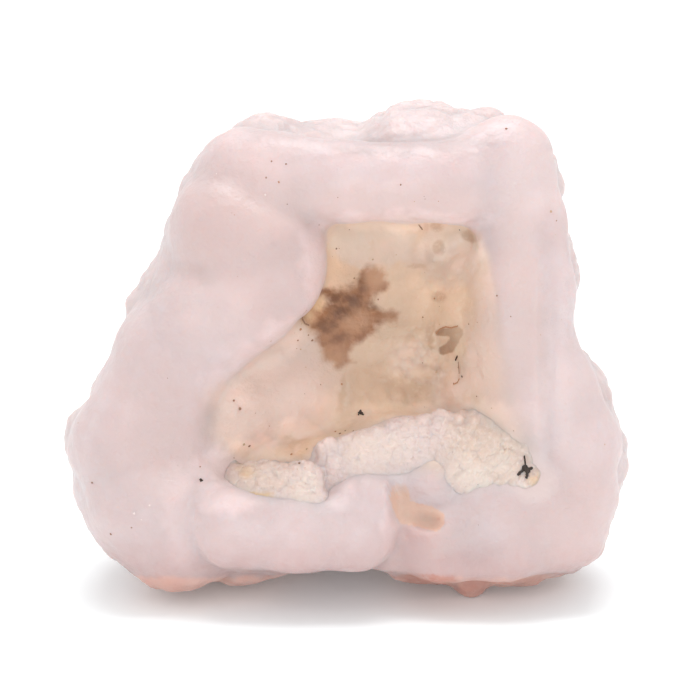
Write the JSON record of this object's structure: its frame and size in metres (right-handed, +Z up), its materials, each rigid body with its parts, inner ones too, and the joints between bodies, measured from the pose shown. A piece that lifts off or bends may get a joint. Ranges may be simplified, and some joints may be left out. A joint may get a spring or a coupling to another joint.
{
  "type": "chalcedony nodule",
  "caption": "Hollow nodule of pale pink chalcedony that stands on its lumpy base, its mouth leaning back, with a ledge of rough quartz crust across the hollow.",
  "frame": {"origin": "middle of the nodule's box, on the ground it stands on", "axes": "+X across the mouth, to the right as seen from the front; -Y out of the mouth; +Z up"},
  "size_m": [0.0634, 0.0422, 0.0546],
  "materials": {
    "chalcedony": "waxy, slightly translucent",
    "quartz_crust": "rough, sugary grains"
  },
  "bodies": {
    "root": {"nodule": "chalcedony", "quartz_crust": "quartz_crust"}
  },
  "joints": []
}
